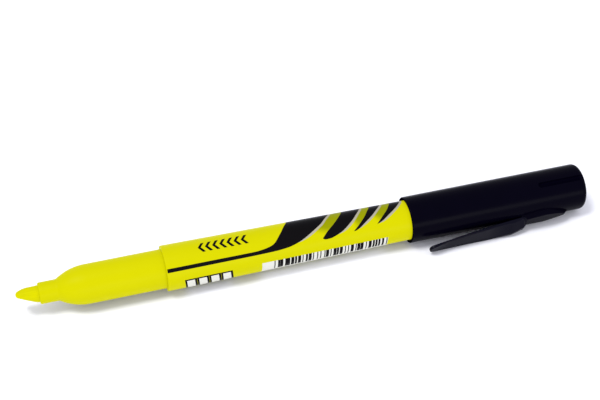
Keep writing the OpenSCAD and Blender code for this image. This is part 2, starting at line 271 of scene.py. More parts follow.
def new_tree(name, kind, inputs, outputs):
    """A node group with named inputs and outputs; returns it and its two end nodes."""
    tree = bpy.data.node_groups.new(name, kind)
    for label, socket, default in inputs:
        made = tree.interface.new_socket(label, in_out="INPUT", socket_type=socket)
        if default is not None:
            made.default_value = default
    for label, socket in outputs:
        tree.interface.new_socket(label, in_out="OUTPUT", socket_type=socket)
    return tree, node(tree, "NodeGroupInput"), node(tree, "NodeGroupOutput")


def made_once(name):
    """Has a node group built the first time it is wanted, and found by its name later."""
    def keep(build):
        def find():
            if name not in bpy.data.node_groups:
                build(name)
            return bpy.data.node_groups[name]
        return find
    return keep


# ---------------------------------------------------------------- making pieces
def grow(piece, tree, values):
    """Runs a Geometry Nodes tree on a piece and keeps the result as its plain mesh."""
    modifier = piece.modifiers.new(tree.name, "NODES")
    modifier.node_group = tree
    sockets = {item.name: item.identifier for item in tree.interface.items_tree
               if item.in_out == "INPUT"}
    for name, value in values.items():
        modifier[sockets[name]] = value
    graph = bpy.context.evaluated_depsgraph_get()
    graph.update()
    mesh = bpy.data.meshes.new_from_object(piece.evaluated_get(graph))
    if not mesh.polygons:
        raise RuntimeError(f"{tree.name} made no faces on {piece.name}")
    piece.modifiers.remove(modifier)
    old = piece.data
    piece.data = mesh
    mesh.name = piece.name
    bpy.data.meshes.remove(old)
    return piece


def new_piece(name, points, edges=(), faces=()):
    """A mesh object at the origin."""
    mesh = bpy.data.meshes.new(name)
    mesh.from_pydata([tuple(point) for point in points], list(edges), list(faces))
    piece = bpy.data.objects.new(name, mesh)
    bpy.context.scene.collection.objects.link(piece)
    return piece


def tidy_mesh(piece, sharp=32, merge=1e-7):
    """Merges doubles, turns the faces outwards and keeps only real corners sharp."""
    mesh = piece.data
    shape = bmesh.new()
    shape.from_mesh(mesh)
    bmesh.ops.remove_doubles(shape, verts=shape.verts, dist=merge)
    bmesh.ops.dissolve_degenerate(shape, edges=shape.edges, dist=merge)
    bmesh.ops.recalc_face_normals(shape, faces=shape.faces)
    shape.to_mesh(mesh)
    shape.free()
    for face in mesh.polygons:
        face.use_smooth = True
    mesh.set_sharp_from_angle(angle=math.radians(sharp))
    return piece


def finish_piece(piece, body, replaced=None):
    """Hides the part it replaces, if any, and hangs a finished piece on its body."""
    if replaced:
        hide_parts(replaced)
    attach(piece, body)
    return piece


# ---------------------------------------------------------------- geometry trees
def shape_tree(name, inputs):
    """A geometry tree that takes a shape, some values and a material."""
    return new_tree(
        name, "GeometryNodeTree",
        [("Geometry", GEOMETRY, None)] + inputs + [("Material", MATERIAL, None)],
        [("Geometry", GEOMETRY)])


def dress(tree, start, end, shape):
    """Ends a shape tree: realizes its instances and gives them the material."""
    made = node(tree, "GeometryNodeRealizeInstances", {0: shape})
    dressed = node(tree, "GeometryNodeSetMaterial", {
        "Geometry": made.outputs[0], "Material": start.outputs["Material"]})
    tree.links.new(dressed.outputs[0], end.inputs[0])


@made_once("Turned piece")
def turning_tree(name):
    """Turns a drawn profile, its X the station and its Y the radius, about the pen's axis."""
    tree, start, end = shape_tree(name, [
        ("Steps round", WHOLE, 192),
        ("Axis start", VECTOR, (0, 0, 0)),
    ])
    path_r = 1 * MM
    drawn_at = own_place(tree)
    outline = node(tree, "GeometryNodeSetPosition", {
        "Geometry": node(tree, "GeometryNodeMeshToCurve", {0: start.outputs[0]}).outputs[0],
        "Position": joined(tree, maths(tree, "SUBTRACT", drawn_at["Y"], path_r),
                           maths(tree, "MULTIPLY", drawn_at["X"], -1.0)),
    })
    path = node(tree, "GeometryNodeCurvePrimitiveCircle", {
        "Resolution": start.outputs["Steps round"], "Radius": path_r})
    level = node(tree, "GeometryNodeSetCurveNormal", {0: path.outputs[0]}, mode="Z_UP")
    swept = node(tree, "GeometryNodeCurveToMesh", {
        "Curve": level.outputs[0], "Profile Curve": outline.outputs[0]})
    welded = node(tree, "GeometryNodeMergeByDistance", {
        "Geometry": swept.outputs[0], "Distance": 1e-7})
    laid = node(tree, "GeometryNodeTransform", {
        "Geometry": welded.outputs[0],
        "Rotation": (0, math.pi / 2, 0),
        "Translation": start.outputs["Axis start"],
    })
    dress(tree, start, end, laid.outputs[0])


WRAP_INPUTS = [
    ("Front radius", FLOAT, 0.005),
    ("Draft", FLOAT, 0.01),
    ("Axis start", VECTOR, (0, 0, 0)),
]


@made_once("Wrap on barrel")
def wrap_group(name):
    """Bends flat geometry round the barrel: X the station, Y the arc at the barrel's
    front edge, Z the height over the surface."""
    tree, start, end = new_tree(
        name, "GeometryNodeTree", [("Geometry", GEOMETRY, None)] + WRAP_INPUTS,
        [("Geometry", GEOMETRY)])
    drawn_at = own_place(tree)
    front_r = start.outputs["Front radius"]
    fall = maths(tree, "MULTIPLY", drawn_at["X"],
                 maths(tree, "TANGENT", start.outputs["Draft"]))
    radius = maths(tree, "ADD", maths(tree, "SUBTRACT", front_r, fall), drawn_at["Z"])
    turn = maths(tree, "DIVIDE", drawn_at["Y"], front_r)
    bent = added(tree, round_axis(tree, radius, turn, drawn_at["X"]),
                 start.outputs["Axis start"])
    moved = node(tree, "GeometryNodeSetPosition", {
        "Geometry": start.outputs["Geometry"], "Position": bent})
    tree.links.new(moved.outputs[0], end.inputs[0])


def wrap(tree, start, end, shape):
    """Ends a shape tree: bends its flat shape round the barrel and dresses it."""
    made = node(tree, "GeometryNodeRealizeInstances", {0: shape})
    bent = node(tree, "GeometryNodeGroup", node_tree=wrap_group())
    tree.links.new(made.outputs[0], bent.inputs["Geometry"])
    for name, _, _ in WRAP_INPUTS:
        tree.links.new(start.outputs[name], bent.inputs[name])
    dress(tree, start, end, bent.outputs[0])


@made_once("Printed shape")
def print_tree(name):
    """Wraps the piece's own flat shape on the barrel."""
    tree, start, end = shape_tree(name, WRAP_INPUTS)
    wrap(tree, start, end, start.outputs["Geometry"])


def row_along(tree, start, count, pitch):
    """A row of points along the barrel, from the tree's first station and arc centre."""
    first = joined(tree, start.outputs["First station"], start.outputs["Arc centre"])
    return node(tree, "GeometryNodeMeshLine", {
        "Count": count, "Start Location": first, "Offset": joined(tree, pitch),
    }).outputs[0]


@made_once("Bar row")
def bar_code_tree(name):
    """A row of bars of random width across the barrel, each a whole number of modules."""
    tree, start, end = shape_tree(name, [
        ("Bars", WHOLE, 30),
        ("First station", FLOAT, 0.0),
        ("Row length", FLOAT, 0.028),
        ("Module", FLOAT, 0.0003),
        ("Bar arc", FLOAT, 0.005),
        ("Arc centre", FLOAT, 0.01),
        ("Ink height", FLOAT, 0.00002),
        ("Seed", WHOLE, 7),
    ] + WRAP_INPUTS)
    widest_shift = 0.22
    second_module = 0.45
    third_module = 0.7
    ink_share = 0.92
    bars = start.outputs["Bars"]
    seed = start.outputs["Seed"]
    pitch = maths(tree, "DIVIDE", start.outputs["Row length"],
                  maths(tree, "SUBTRACT", bars, 1.0))
    index = node(tree, "GeometryNodeInputIndex").outputs[0]
    shift = node(tree, "FunctionNodeRandomValue", {
        "Min": -widest_shift, "Max": widest_shift, "ID": index, "Seed": seed,
    }, data_type="FLOAT").outputs[1]
    inner = maths(tree, "MULTIPLY", maths(tree, "GREATER_THAN", index, 0.5),
                  maths(tree, "LESS_THAN", index, maths(tree, "SUBTRACT", bars, 1.5)))
    jog = maths(tree, "MULTIPLY", maths(tree, "MULTIPLY", shift, pitch), inner)
    spread = node(tree, "GeometryNodeSetPosition", {
        "Geometry": row_along(tree, start, bars, pitch), "Offset": joined(tree, jog)})
    draw = node(tree, "FunctionNodeRandomValue", {
        "Min": 0.0, "Max": 1.0, "ID": index, "Seed": maths(tree, "ADD", seed, 1.0),
    }, data_type="FLOAT").outputs[1]
    wide = maths(tree, "ADD", maths(tree, "GREATER_THAN", draw, second_module),
                 maths(tree, "GREATER_THAN", draw, third_module))
    modules = maths(tree, "ADD", 1.0, maths(tree, "MULTIPLY", wide, inner))
    size = joined(tree, maths(tree, "MULTIPLY", start.outputs["Module"], ink_share),
                  start.outputs["Bar arc"],
                  maths(tree, "MULTIPLY", start.outputs["Ink height"], 2.0))
    bar = node(tree, "GeometryNodeMeshCube", {
        "Size": size, "Vertices X": 2, "Vertices Y": 32, "Vertices Z": 2})
    placed = node(tree, "GeometryNodeInstanceOnPoints", {
        "Points": spread.outputs[0], "Instance": bar.outputs[0],
        "Scale": joined(tree, modules, 1.0, 1.0)})
    wrap(tree, start, end, placed.outputs[0])


@made_once("Mark row")
def mark_row_tree(name):
    """A row of like marks, each a copy of the piece's own flat shape, wrapped on the barrel."""
    tree, start, end = shape_tree(name, [
        ("Marks", WHOLE, 6),
        ("First station", FLOAT, 0.0),
        ("Pitch", FLOAT, 0.002),
        ("Arc centre", FLOAT, 0.0),
    ] + WRAP_INPUTS)
    row = row_along(tree, start, start.outputs["Marks"], start.outputs["Pitch"])
    placed = node(tree, "GeometryNodeInstanceOnPoints", {
        "Points": row, "Instance": start.outputs["Geometry"]})
    wrap(tree, start, end, placed.outputs[0])


@made_once("Drilled vents")
def vent_tree(name):
    """Drills a ring of round vents along the pen's axis through the cap's closed end."""
    tree, start, end = shape_tree(name, [
        ("Vents", WHOLE, 3),
        ("Ring radius", FLOAT, 0.004),
        ("Diameter", FLOAT, 0.0009),
        ("Depth", FLOAT, 0.002),
        ("Centre", VECTOR, (0, 0, 0)),
        ("First turn", FLOAT, 0.0),
        ("Turn step", FLOAT, 1.5708),
    ])
    index = node(tree, "GeometryNodeInputIndex").outputs[0]
    turn = maths(tree, "ADD", start.outputs["First turn"],
                 maths(tree, "MULTIPLY", index, start.outputs["Turn step"]))
    ring = round_axis(tree, start.outputs["Ring radius"], turn)
    points = node(tree, "GeometryNodeMeshLine", {"Count": start.outputs["Vents"]})
    spots = node(tree, "GeometryNodeSetPosition", {
        "Geometry": points.outputs[0],
        "Position": added(tree, ring, start.outputs["Centre"])})
    drill = node(tree, "GeometryNodeMeshCylinder", {
        "Vertices": 24, "Radius": maths(tree, "MULTIPLY", start.outputs["Diameter"], 0.5),
        "Depth": start.outputs["Depth"]})
    placed = node(tree, "GeometryNodeInstanceOnPoints", {
        "Points": spots.outputs[0], "Instance": drill.outputs["Mesh"],
        "Rotation": (0, math.pi / 2, 0)})
    drills = node(tree, "GeometryNodeRealizeInstances", {0: placed.outputs[0]})
    cut = node(tree, "GeometryNodeMeshBoolean", {
        "Mesh 1": start.outputs["Geometry"], "Mesh 2": drills.outputs[0],
    }, operation="DIFFERENCE", solver="EXACT")
    dress(tree, start, end, cut.outputs[0])


# ---------------------------------------------------------------- shader groups
def noise(tree, vector, scale, detail=2.0, stretch=(1.0, 1.0, 1.0)):
    """Noise from 0 to 1, with its pattern squeezed by stretch on each axis."""
    shaped = node(tree, "ShaderNodeVectorMath", {0: vector, 1: stretch},
                  operation="MULTIPLY").outputs[0]
    return node(tree, "ShaderNodeTexNoise", {
        "Vector": shaped, "Scale": scale, "Detail": detail}).outputs["Fac"]


def ranged(tree, value, low, high, to_low, to_high):
    """A value mapped smoothly from one range to another."""
    return node(tree, "ShaderNodeMapRange", {
        "Value": value, "From Min": low, "From Max": high,
        "To Min": to_low, "To Max": to_high,
    }, interpolation_type="SMOOTHSTEP").outputs["Result"]


def shaded(tree, base, factor):
    """A colour multiplied by a number."""
    return node(tree, "ShaderNodeVectorMath", {0: base, "Scale": factor},
                operation="SCALE").outputs[0]


def swing(tree, value, size):
    """A noise's swing to both sides of its middle, times a size."""
    return maths(tree, "MULTIPLY", maths(tree, "SUBTRACT", value, 0.5), size)


def skin_tree(name, inputs):
    """A shader group that makes a skin's colour, roughness and height over a piece."""
    return new_tree(name, "ShaderNodeTree", [
        ("Vector", VECTOR, None), ("Colour", COLOUR, (0.5, 0.5, 0.5, 1))] + inputs,
        [("Colour", COLOUR), ("Roughness", FLOAT), ("Height", FLOAT)])


def skin_out(tree, start, end, tone, rough, height):
    """Ends a skin tree: its colour is the given one times a tone."""
    tree.links.new(shaded(tree, start.outputs["Colour"], tone), end.inputs["Colour"])
    tree.links.new(rough, end.inputs["Roughness"])
    tree.links.new(height, end.inputs["Height"])


@made_once("Moulded skin")
def moulded_group(name):
    """Moulded plastic: faint cloudiness, fine spark-eroded grain, hairline scuffs."""
    tree, start, end = skin_tree(name, [
        ("Cloudiness", FLOAT, 0.04),
        ("Grain", FLOAT, 0.3),
        ("Roughness", FLOAT, 0.3),
        ("Scuffs", FLOAT, 0.1),
    ])
    vector = start.outputs["Vector"]
    cloud = noise(tree, vector, 160.0, 3.0)
    grain = noise(tree, vector, 5200.0)
    along = noise(tree, vector, 900.0, 3.0, (0.06, 1.0, 1.0))
    scuff = ranged(tree, along, 0.62, 0.78, 0.0, 1.0)
    patch = ranged(tree, noise(tree, vector, 260.0), 0.45, 0.7, 0.0, 1.0)
    worn = maths(tree, "MULTIPLY", maths(tree, "MULTIPLY", scuff, patch),
                 start.outputs["Scuffs"])
    clouded = maths(tree, "ADD", 1.0, swing(tree, cloud, start.outputs["Cloudiness"]))
    tone = maths(tree, "ADD", clouded, maths(tree, "MULTIPLY", worn, 0.12))
    rough = maths(tree, "ADD", start.outputs["Roughness"], swing(tree, cloud, 0.12))
    rough = maths(tree, "ADD", rough, maths(tree, "MULTIPLY", worn, 0.5))
    height = maths(tree, "SUBTRACT", maths(tree, "MULTIPLY", grain, start.outputs["Grain"]),
                   worn)
    skin_out(tree, start, end, tone, rough, height)


@made_once("Fibre grain")
def fibre_group(name):
    """Bundled fibre: fine threads along the pen, wetter and drier patches."""
    tree, start, end = skin_tree(name, [
        ("Threads", FLOAT, 5200.0),
        ("Contrast", FLOAT, 0.3),
    ])
    vector = start.outputs["Vector"]
    threads = noise(tree, vector, start.outputs["Threads"], 3.0, (0.05, 1.0, 1.0))
    wet = noise(tree, vector, 420.0)
    threaded = maths(tree, "ADD", 1.0, swing(tree, threads, start.outputs["Contrast"]))
    tone = maths(tree, "ADD", threaded, swing(tree, wet, 0.2))
    skin_out(tree, start, end, tone, ranged(tree, wet, 0.3, 0.7, 0.45, 0.8), threads)


@made_once("Printed ink")
def ink_group(name):
    """Screen-printed ink: a fine even orange peel and faint specks."""
    tree, start, end = skin_tree(name, [
        ("Specks", FLOAT, 0.1),
        ("Roughness", FLOAT, 0.3),
    ])
    vector = start.outputs["Vector"]
    peel = noise(tree, vector, 3600.0)
    speck = ranged(tree, noise(tree, vector, 9000.0, 1.0), 0.66, 0.8, 0.0, 1.0)
    tone = maths(tree, "ADD", 1.0, maths(tree, "MULTIPLY", speck, start.outputs["Specks"]))
    rough = maths(tree, "ADD", start.outputs["Roughness"], swing(tree, peel, 0.16))
    height = maths(tree, "ADD", peel, maths(tree, "MULTIPLY", speck, 0.3))
    skin_out(tree, start, end, tone, rough, height)


# ---------------------------------------------------------------- materials
GRAIN_DEPTH = 0.02 * MM
INK_DEPTH = 0.01 * MM
# Strengths of the painted glow on the yellow plastic and on the nib
PAINTED_YELLOW_GLOW = 0.47
PAINTED_NIB_GLOW = 0.48
SOFT_GLOSS = 1.09
INK_ROUGHNESS = {"black": 0.3, "silver": 0.38, "olive": 0.34, "white": 0.36}


def new_material(name, group, values, bump, bump_depth, constants, painted_glow=None, fade=None):
    """A material: one shader group feeding a Principled shader, with a bump. Its painted
    glow is an emission that only the camera sees, so it tints nothing beside it. A fade is
    (attribute, its first share, the colour there): the piece blends into that colour at both
    ends of the attribute."""
    label = name + "_finish"
    if label in bpy.data.materials:
        return bpy.data.materials[label]
    material = bpy.data.materials.new(label)
    material.use_nodes = True
    tree = material.node_tree
    tree.nodes.clear()
    place = node(tree, "ShaderNodeTexCoord").outputs["Object"]
    effect = node(tree, "ShaderNodeGroup", node_tree=group)
    tree.links.new(place, effect.inputs["Vector"])
    for key, value in values.items():
        effect.inputs[key].default_value = value
    relief = node(tree, "ShaderNodeBump", {
        "Strength": bump, "Distance": bump_depth, "Height": effect.outputs["Height"]})
    surface = node(tree, "ShaderNodeBsdfPrincipled", {
        "Base Color": effect.outputs["Colour"],
        "Roughness": effect.outputs["Roughness"],
        "Normal": relief.outputs[0],
    })
    for key, value in constants.items():
        surface.inputs[key].default_value = value
    # The painted glow shows to camera rays only, so it lights nothing beside it
    lit = node(tree, "ShaderNodeLightPath").outputs["Is Camera Ray"] if painted_glow else None
    if fade:
        along = node(tree, "ShaderNodeAttribute", attribute_name=fade[0]).outputs["Fac"]
        near = maths(tree, "MINIMUM", along, maths(tree, "SUBTRACT", 1.0, along))
        mask = ranged(tree, near, 0.0, fade[1], 1.0, 0.0)
        blend = node(tree, "ShaderNodeMix", {0: mask, 6: values["Colour"], 7: fade[2]},
                     data_type="RGBA")
        tree.links.new(blend.outputs[2], effect.inputs["Colour"])
        lit = maths(tree, "MULTIPLY", lit, mask)
    if painted_glow:
        tree.links.new(shaded(tree, tuple(painted_glow), lit), surface.inputs["Emission Color"])
    out = node(tree, "ShaderNodeOutputMaterial", {"Surface": surface.outputs[0]})
    out.is_active_output = True
    return material


def four(rgb):
    """A colour with its alpha."""
    return (rgb[0], rgb[1], rgb[2], 1.0)


def plastic(name, shade, roughness, grain, cloudiness, scuffs, bump, constants, painted_glow=None):
    """A moulded plastic."""
    return new_material(name, moulded_group(), {
        "Colour": four(shade), "Roughness": roughness, "Grain": grain,
        "Cloudiness": cloudiness, "Scuffs": scuffs,
    }, bump, GRAIN_DEPTH, constants, painted_glow)


def yellow_plastic(colours, name, roughness, grain):
    """Fluorescent yellow plastic with a painted glow that only the camera sees: it stands in for
    the fluorescence and evens out the shading.
    """
    return plastic(name, colours.body, roughness, grain, 0.05, 0.25, 0.25, {
        "Emission Strength": PAINTED_YELLOW_GLOW, "IOR": SOFT_GLOSS}, colours.painted_glow)


def black_plastic(name, shade, roughness, grain, gloss):
    """Navy black plastic."""
    return plastic(name, shade, roughness, grain, 0.3, 0.3, 0.2, {"IOR": gloss})


def cap_black(colours):
    """The cap's polished navy black."""
    return black_plastic("cap_black", colours.cap, 0.24, 0.25, 1.08)


def ink(colours, name):
    """A printed ink. The olive fades into the yellow plastic at both ends of its bands."""
    constants = {"IOR": SOFT_GLOSS}
    painted_glow = None
    fade = None
    if name == "olive":
        # The olive ink carries the same painted glow as the yellow plastic, seen only by the
        # camera
        constants["Emission Strength"] = PAINTED_YELLOW_GLOW
        painted_glow = colours.painted_glow
        fade = ("along", 0.15, four(colours.body))
    return new_material("ink_" + name, ink_group(), {
        "Colour": four(getattr(colours, name)), "Roughness": INK_ROUGHNESS[name],
        "Specks": 0.1,
    }, 0.15, INK_DEPTH, constants, painted_glow, fade)


# ---------------------------------------------------------------- mesh helpers
def eased(share):
    """A share held between 0 and 1, and eased in and out."""
    share = min(max(share, 0.0), 1.0)
    return share * share * (3 - 2 * share)


def bow(radius, off):
    """Height of a circle over its middle, at a distance off to the side."""
    return math.sqrt(max(radius ** 2 - off ** 2, 0))


def arc(centre, radius, from_degrees, to_degrees, steps):
    """Points on an arc, as (station, radius) pairs; 0 degrees points to the tail."""
    points = []
    for step in range(steps + 1):
        turn = math.radians(from_degrees + (to_degrees - from_degrees) * step / steps)
        points.append((centre[0] + radius * math.cos(turn),
                       centre[1] + radius * math.sin(turn)))
    return points


def turned(name, profile, material, closed=True, steps=192):
    """A piece turned about the pen's axis from its profile."""
    count = len(profile)
    edges = [(i, i + 1) for i in range(count - 1)]
    if closed:
        edges.append((count - 1, 0))
    piece = new_piece(name, [(station, radius, 0) for station, radius in profile], edges)
    grow(piece, turning_tree(), {
        "Steps round": steps, "Axis start": tuple(AXIS), "Material": material})
    return tidy_mesh(piece)


def quads(rows, count, closed=False):
    """Faces between rows of points that run round; closed joins the last row to the first."""
    faces = []
    for row in range(rows if closed else rows - 1):
        below = (row + 1) % rows
        for column in range(count):
            beside = (column + 1) % count
            faces.append((row * count + column, row * count + beside,
                          below * count + beside, below * count + column))
    return faces


def loft(name, loops, material, sharp=32):
    """A closed skin over a row of like loops, with a face at each end."""
    count = len(loops[0])
    last = (len(loops) - 1) * count
    points = [point for loop in loops for point in loop]
    ends = [tuple(range(count)), tuple(range(last, last + count))]
    piece = new_piece(name, points, (), quads(len(loops), count) + ends)
    piece.data.materials.append(material)
    return tidy_mesh(piece, sharp)


def section(x, corners, edge):
    """Loop across the clip or ridge at station x, through (side, out) corners, rounded."""
    loop = []
    for i, corner in enumerate(corners):
        before = corners[i - 1]
        after = corners[(i + 1) % len(corners)]
        reach = min(edge, 0.45 * math.dist(corner, before), 0.45 * math.dist(corner, after))
        back = reach / max(math.dist(corner, before), 1e-9)
        ahead = reach / max(math.dist(corner, after), 1e-9)
        for step in range(5):
            t = step / 4
            side, out = (
                corner[k] + (1 - t) ** 2 * (before[k] - corner[k]) * back
                + t * t * (after[k] - corner[k]) * ahead for k in (0, 1))
            loop.append(Vector((AXIS.x + x, AXIS.y, AXIS.z)) + CLIP_SIDE * side
                        + CLIP_OUT * out)
    return loop


def smooth(a, b, c, d, t):
    """A number at a share t of the way from b to c, on the smooth curve a, b, c, d."""
    return 0.5 * (2 * b + (c - a) * t + (2 * a - 5 * b + 4 * c - d) * t * t
                  + (3 * b - a - 3 * c + d) * t ** 3)


def spline(points, count):
    """Evenly spread points on a smooth curve through the given (x, y) points."""
    lead = [(2 * points[0][0] - points[1][0], 2 * points[0][1] - points[1][1])]
    trail = [(2 * points[-1][0] - points[-2][0], 2 * points[-1][1] - points[-2][1])]
    line = lead + list(points) + trail
    pieces = 16
    fine = []
    for quad in zip(line, line[1:], line[2:], line[3:]):
        for step in range(pieces):
            fine.append(tuple(smooth(*values, step / pieces) for values in zip(*quad)))
    fine.append(tuple(points[-1]))
    run = [0.0]
    for a, b in zip(fine, fine[1:]):
        run.append(run[-1] + math.dist(a, b))
    spread = []
    at = 0
    for i in range(count):
        goal = run[-1] * i / (count - 1)
        while at < len(run) - 2 and run[at + 1] < goal:
            at += 1
        share = (goal - run[at]) / max(run[at + 1] - run[at], 1e-12)
        share = min(max(share, 0.0), 1.0)
        spread.append(tuple(fine[at][k] + (fine[at + 1][k] - fine[at][k]) * share
                            for k in (0, 1)))
    return spread


def curve_at(points, x):
    """Height of a smooth curve through (x, y) points, at x."""
    points = sorted(points)
    if x <= points[0][0]:
        return points[0][1]
    for i in range(len(points) - 1):
        if x <= points[i + 1][0]:
            (x0, y0), (x1, y1) = points[i], points[i + 1]
            gaps = [(points[j + 1][1] - points[j][1]) / (points[j + 1][0] - points[j][0])
                    for j in range(len(points) - 1)]
            slope = []
            for j in (i, i + 1):
                left = gaps[max(j - 1, 0)]
                right = gaps[min(j, len(gaps) - 1)]
                slope.append(0.0 if left * right < 0 else (left + right) / 2)
            t = (x - x0) / (x1 - x0)
            h = x1 - x0
            return ((2 * t ** 3 - 3 * t ** 2 + 1) * y0 + (t ** 3 - 2 * t ** 2 + t) * h * slope[0]
                    + (3 * t ** 2 - 2 * t ** 3) * y1 + (t ** 3 - t ** 2) * h * slope[1])
    return points[-1][1]


def flat_ribbons(name, ribbons, height):
    """Flat closed strips between pairs of edge lines, ready to be wrapped on the barrel.
    Each ribbon is (left edge, right edge, how far it stands proud)."""
    points = []
    faces = []
    shade = []
    for left, right, proud in ribbons:
        rows = len(left)
        columns = 10
        base = len(points)
        for level in (proud, -height):
            for row in range(rows):
                for column in range(columns + 1):
                    share = column / columns
                    points.append((
                        left[row][0] + (right[row][0] - left[row][0]) * share,
                        left[row][1] + (right[row][1] - left[row][1]) * share,
                        level))
                    shade.append(row / (rows - 1))
        size = rows * (columns + 1)

        def at(level, row, column, base=base, size=size, width=columns + 1):
            return base + level * size + row * width + column

        for row in range(rows - 1):
            for column in range(columns):
                top = (at(0, row, column), at(0, row, column + 1),
                       at(0, row + 1, column + 1), at(0, row + 1, column))
                faces.append(top)
                faces.append(tuple(reversed([index + size for index in top])))
            for column in (0, columns):
                faces.append((at(0, row, column), at(0, row + 1, column),
                              at(1, row + 1, column), at(1, row, column)))
        for row in (0, rows - 1):
            for column in range(columns):
                faces.append((at(0, row, column), at(0, row, column + 1),
                              at(1, row, column + 1), at(1, row, column)))
    piece = new_piece(name, points, (), faces)
    along = piece.data.attributes.new("along", "FLOAT", "POINT")
    along.data.foreach_set("value", shade)
    return piece


# ---------------------------------------------------------------- nib, body and reservoir
def nib_loops(sizes):
    """Loops across the nib from its writing edge to its rear: a round rod, cut off by the
    slanted writing face and eased across from it."""
    shaped_len = 5 * MM
    soft_edge = 0.12 * MM
    round_steps = 72
    rod = sizes.nib_r
    edge = sizes.nib_edge
    ease = sizes.nib_ease
    slope = math.tan(sizes.nib_slant)
    lean = math.asin((ease - edge) / (sizes.nib_back - edge))
    centre_x = ease - (sizes.nib_back - edge) * math.sin(lean)
    centre_y = rod - sizes.nib_back + (sizes.nib_back - edge) * math.cos(lean)
    face_x = centre_x - edge * math.sin(sizes.nib_slant)
    face_y = centre_y - edge * math.cos(sizes.nib_slant)
    back_x = centre_x - edge * math.sin(lean)
    out = Vector((0, -math.sin(sizes.nib_turn), math.cos(sizes.nib_turn)))
    beside = Vector((0, math.cos(sizes.nib_turn), math.sin(sizes.nib_turn)))

    def back(x):
        if x < back_x:
            return centre_y + bow(edge, x - centre_x)
        return rod - sizes.nib_back + bow(sizes.nib_back, min(x, ease) - ease)

    def face(x):
        if x < face_x:
            return centre_y - bow(edge, x - centre_x)
        return face_y - (x - face_x) * slope

    def soft(a, b, sign):
        return (a + b + sign * math.sqrt((a - b) ** 2 + soft_edge ** 2)) / 2

    steps = [0.004, 0.02, 0.05, 0.1, 0.17, 0.25, 0.35, 0.48, 0.6, 0.8, 1.0, 1.25, 1.5, 1.8,
             2.1, 2.4, 2.7, 3.0, 3.3, 3.6, 3.8, 4.0, 4.2, 4.5, 5.0, 8.0, 16.0, 24.0]
    loops = []
    for x in [step * MM for step in steps] + [NIB_REAR - NIB_TIP]:
        middle = Vector((AXIS.x + NIB_TIP + x, AXIS.y, AXIS.z))
        loop = []
        for i in range(round_steps):
            turn = 2 * math.pi * i / round_steps
            side = rod * math.cos(turn)
            lift = rod * math.sin(turn)
            if x < shaped_len:
                lift = soft(lift, face(x), 1)
                lift = soft(lift, back(x), -1)
                size = math.hypot(side, lift)
                if size > rod:
                    lift *= rod / size
                    side *= rod / size
            loop.append(middle + beside * side - out * lift)
        loops.append(loop)
    return loops


class PEN_OT_nib(bpy.types.Operator):
    """Build the chisel nib of bonded fibre"""

    bl_idname = "pen.nib"
    bl_label = "Nib"

    def execute(self, context):
        colours = context.scene.pen_colours
        # The nib carries a painted glow that only the camera sees, like the yellow plastic
        fibre = new_material("nib_fibre", fibre_group(), {
            "Colour": four(colours.nib), "Threads": 5600.0, "Contrast": 0.35,
        }, 0.5, 0.04 * MM, {
            "Emission Strength": PAINTED_NIB_GLOW, "IOR": SOFT_GLOSS}, colours.painted_glow)
        piece = loft("nib_fibre", nib_loops(context.scene.pen_sizes), fibre)
        finish_piece(piece, "pen", "nib")
        return {"FINISHED"}


class PEN_OT_nose(bpy.types.Operator):
    """Turn the nose section: collar, shoulder, grip and skirt"""

    bl_idname = "pen.nose"
    bl_label = "Nose section"

    def execute(self, context):
        sizes = context.scene.pen_sizes
        front = -sizes.grip_len
        rise = sizes.grip_r - sizes.collar_r
        big = (sizes.flare_len ** 2 + rise ** 2) / (2 * rise)
        fillet = sizes.collar_fillet
        fillet_y = sizes.collar_r + fillet
        lift = fillet_y - sizes.grip_r + big
        fillet_x = math.sqrt((big + fillet) ** 2 - lift ** 2)
        lean = math.degrees(math.atan2(fillet_x, lift))
        edge = sizes.collar_edge
        bore = sizes.nib_r + 0.02 * MM
        small = 0.06 * MM
        hollow = front + sizes.hollow_back
        profile = [(COLLAR_TIP, bore)]
        profile += arc((COLLAR_TIP + edge, sizes.collar_r - edge), edge, 180, 90, 8)
        profile += arc((front - fillet_x, fillet_y), fillet, 270, 270 + lean, 10)
        profile += arc((front, sizes.grip_r - big), big, 90 + lean, 90, 40)[1:]
        profile += [(front / 2, sizes.grip_r)]
        profile += arc((-small, sizes.grip_r - small), small, 90, 0, 4)
        profile += [(0, sizes.skirt_r), (SKIRT_END, sizes.skirt_r),
                    (SKIRT_END, sizes.chamber_r), (hollow, sizes.chamber_r), (hollow, bore)]
        piece = turned("nose_shell", profile,
                       yellow_plastic(context.scene.pen_colours, "nose_yellow", 0.42, 0.5))
        finish_piece(piece, "pen", "nose_section")
        return {"FINISHED"}


class PEN_OT_barrel(bpy.types.Operator):
    """Turn the tapered barrel tube"""

    bl_idname = "pen.barrel"
    bl_label = "Barrel"

    def execute(self, context):
        sizes = context.scene.pen_sizes
        edge = sizes.barrel_edge
        rear = BARREL_FRONT_R - BARREL_LEN * math.tan(sizes.draft)
        socket_end = SKIRT_END + 0.02 * MM
        profile = [(0, sizes.socket_r)]
        profile += arc((edge, BARREL_FRONT_R - edge), edge, 180, 90, 8)
        for share in (0.1, 0.25, 0.4, 0.55, 0.7, 0.85):
            station = BARREL_LEN * share
            profile.append((station, BARREL_FRONT_R - station * math.tan(sizes.draft)))
        profile += [(BARREL_LEN, rear), (BARREL_LEN, sizes.chamber_r),
                    (socket_end, sizes.chamber_r), (socket_end, sizes.socket_r)]
        piece = turned("barrel_tube", profile,
                       yellow_plastic(context.scene.pen_colours, "barrel_yellow", 0.34, 0.3))
        finish_piece(piece, "pen", "barrel")
        return {"FINISHED"}


